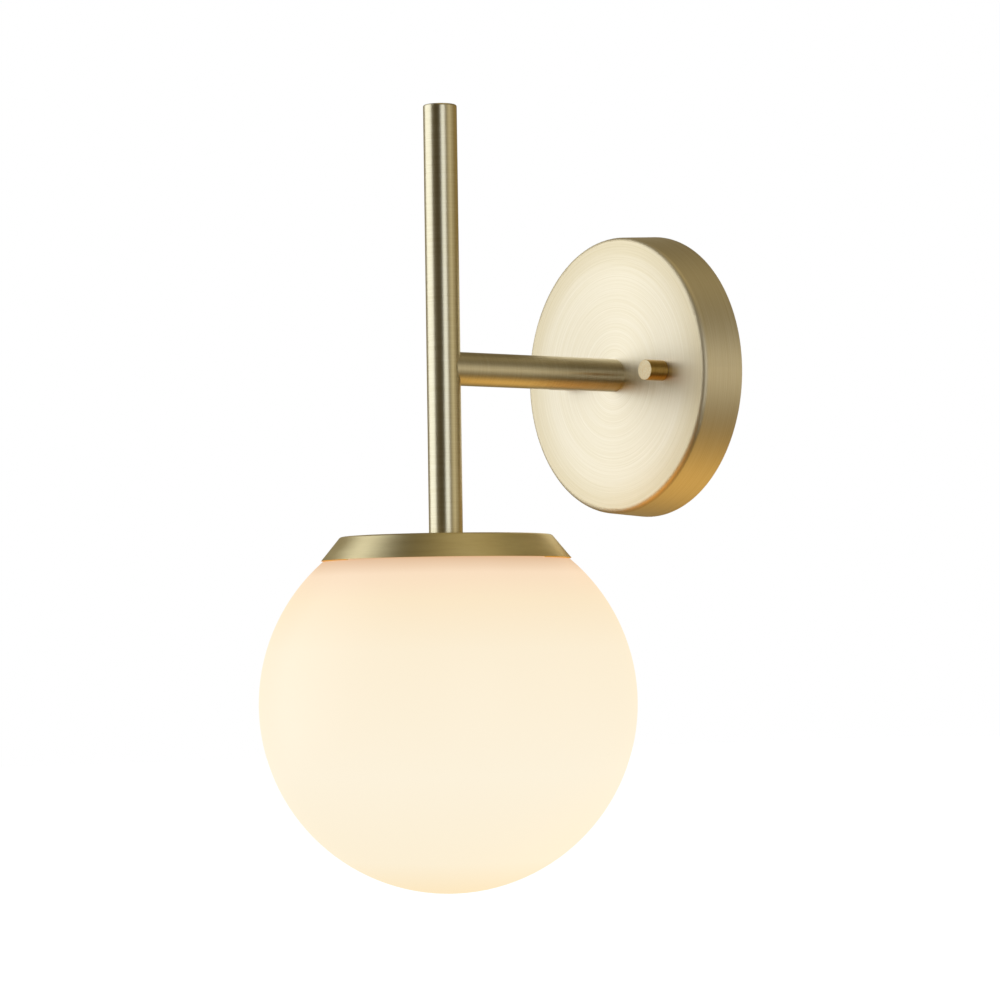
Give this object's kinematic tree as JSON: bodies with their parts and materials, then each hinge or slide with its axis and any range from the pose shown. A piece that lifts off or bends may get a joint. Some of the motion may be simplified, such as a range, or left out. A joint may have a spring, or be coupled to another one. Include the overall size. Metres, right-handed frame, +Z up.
{
  "type": "globe wall sconce",
  "caption": "Wall sconce with a round spun canopy, a tube arm, an upright tube stem and an opal glass globe under a flared cap.",
  "frame": {"origin": "centre of the wall canopy on the wall plane, which is the centre of the box screws", "axes": "+Y into the wall, so -Y points out of it along the arm, +Z up along the stem, +X to the right of someone facing the wall"},
  "size_m": [0.15, 0.182, 0.3134],
  "materials": {
    "brushed_brass": "satin brushed",
    "spun_brass": "spun and brushed",
    "turned_brass": "turned satin",
    "contact_brass": "bright",
    "zinc_steel": "zinc plated",
    "green_screw": "green passivated",
    "opal_glass": "satin opal",
    "silicone": "soft matt",
    "phenolic": "moulded",
    "nickel_shell": "rolled",
    "frosted_diffuser": "frosted",
    "white_plastic": "moulded",
    "black_insulation": "lead insulation",
    "white_insulation": "lead insulation",
    "green_insulation": "lead insulation",
    "board": "white board"
  },
  "bodies": {
    "wall_fixture": {"wall_strap": "zinc_steel", "canopy_studs": "zinc_steel", "stud_nuts": "zinc_steel", "canopy": "spun_brass", "earth_tags": "nickel_shell", "earth_lead": "green_insulation", "earth_screw": "green_screw", "arm_tube": "brushed_brass", "arm_nipple": "zinc_steel", "arm_lock_washer": "zinc_steel", "arm_nut": "zinc_steel", "stem_tube": "brushed_brass", "stem_top_plug": "brushed_brass", "stem_nipple": "zinc_steel", "holder_cap": "spun_brass", "glass_gallery": "zinc_steel", "holder_lock_washer": "zinc_steel", "holder_nut": "zinc_steel", "lampholder_cap": "phenolic", "lampholder_insulator": "phenolic", "lampholder_skirt": "phenolic", "screw_shell": "nickel_shell", "centre_contact": "contact_brass", "lead_terminals": "contact_brass", "terminal_screws": "zinc_steel", "live_lead": "black_insulation", "neutral_lead": "white_insulation", "wire_connectors": "white_plastic"},
    "knob_left": {"knob_left": "turned_brass"},
    "knob_right": {"knob_right": "turned_brass"},
    "globe_carrier": {"glass_gasket": "silicone"},
    "globe": {"glass_globe": "opal_glass"},
    "bulb": {"bulb_contact": "contact_brass", "bulb_insulator": "phenolic", "bulb_screw_base": "nickel_shell", "bulb_collar": "white_plastic", "led_board": "board", "bulb_ball": "frosted_diffuser"}
  },
  "joints": [
    {"name": "globe_lower", "type": "slide", "parent": "wall_fixture", "child": "globe_carrier", "axis": [0, 0, -1], "range_m": [0, 0.006]},
    {"name": "globe_turn", "type": "hinge", "parent": "globe_carrier", "child": "globe", "pos_m": [0, -0.107, -0.133], "axis": [0, 0, -1], "range_deg": [0, 540]},
    {"name": "bulb_withdraw", "type": "slide", "parent": "wall_fixture", "child": "bulb", "axis": [0, 0, -1], "range_m": [0, 0.022]},
    {"name": "knob_left_off", "type": "slide", "parent": "wall_fixture", "child": "knob_left", "axis": [0, -1, 0], "range_m": [0, 0.006]},
    {"name": "knob_right_off", "type": "slide", "parent": "wall_fixture", "child": "knob_right", "axis": [0, -1, 0], "range_m": [0, 0.006]}
  ],
  "couplings": [
    {"joint": "globe_lower", "follows": "globe_turn", "m_per_rad": 0.00063661}
  ]
}
